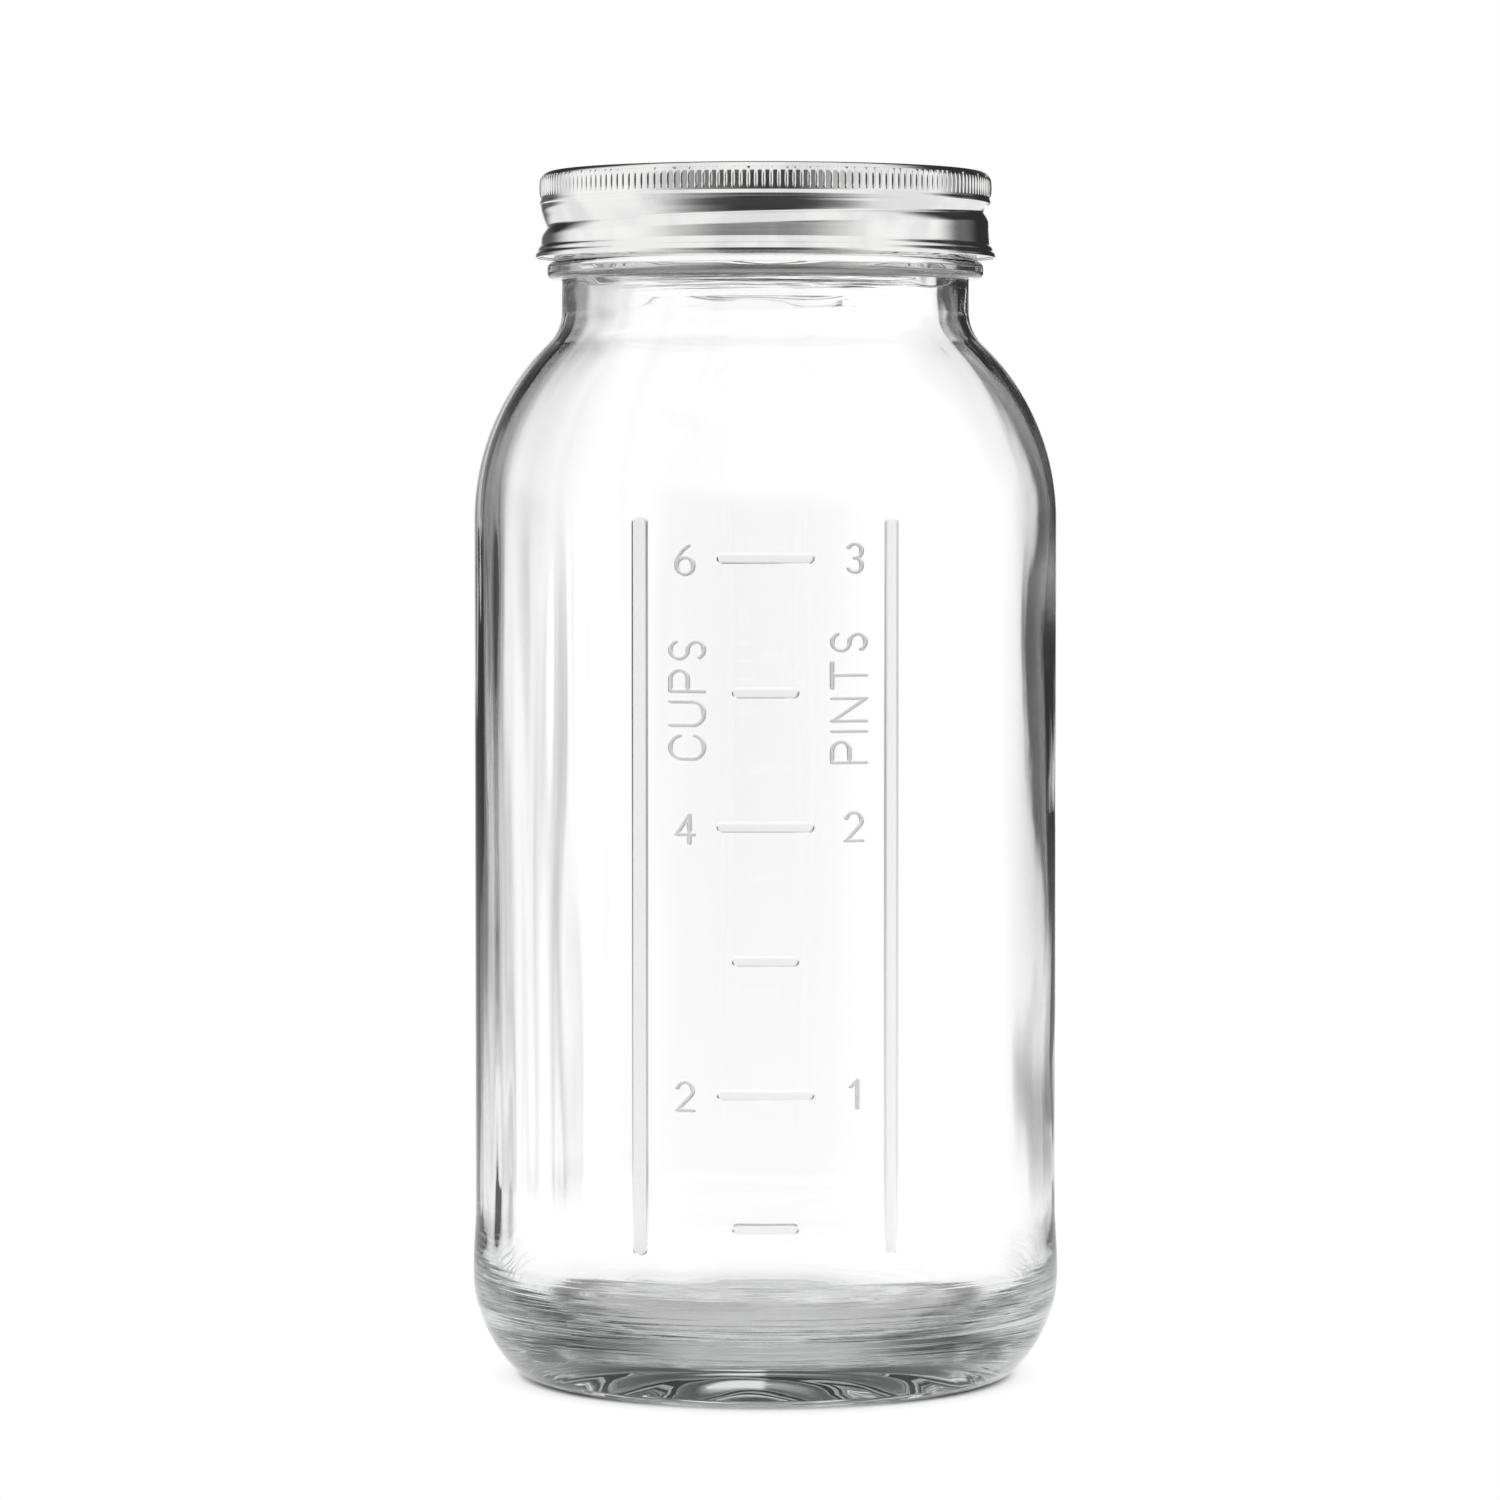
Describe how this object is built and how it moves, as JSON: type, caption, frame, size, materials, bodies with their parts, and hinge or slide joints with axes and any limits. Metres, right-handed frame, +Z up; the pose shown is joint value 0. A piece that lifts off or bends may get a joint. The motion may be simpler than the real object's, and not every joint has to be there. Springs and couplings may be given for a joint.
{
  "type": "wide-mouth glass jar with screw band lid",
  "caption": "Clear glass wide-mouth canning jar with raised graduations, a flat metal lid with a sealing ring, and a rolled screw band that unscrews to open it.",
  "frame": {"origin": "centre of the base, on the plane of the bearing ring", "axes": "+Z up along the jar's axis, -Y towards the raised graduations, +X to the right of them"},
  "size_m": [0.1152, 0.1152, 0.2362],
  "materials": {
    "glass_jar": "clear, polished, with faint mould waviness",
    "flat_lid": "bright tinplate",
    "sealing_ring": "matte sealing compound",
    "screw_band": "bright tinplate"
  },
  "bodies": {
    "jar": {"glass_jar": "glass_jar"},
    "lid": {"flat_lid": "flat_lid", "sealing_ring": "sealing_ring"},
    "band": {"screw_band": "screw_band"}
  },
  "joints": [
    {"name": "lid_lift", "type": "slide", "parent": "jar", "child": "lid", "axis": [0, 0, 1], "range_m": [0, 0.0255]},
    {"name": "band_turn", "type": "hinge", "parent": "lid", "child": "band", "pos_m": [0, 0, 0.228], "axis": [0, 0, 1], "range_deg": [0, 1440]}
  ],
  "couplings": [
    {"joint": "lid_lift", "follows": "band_turn", "m_per_rad": 0.0010106}
  ]
}
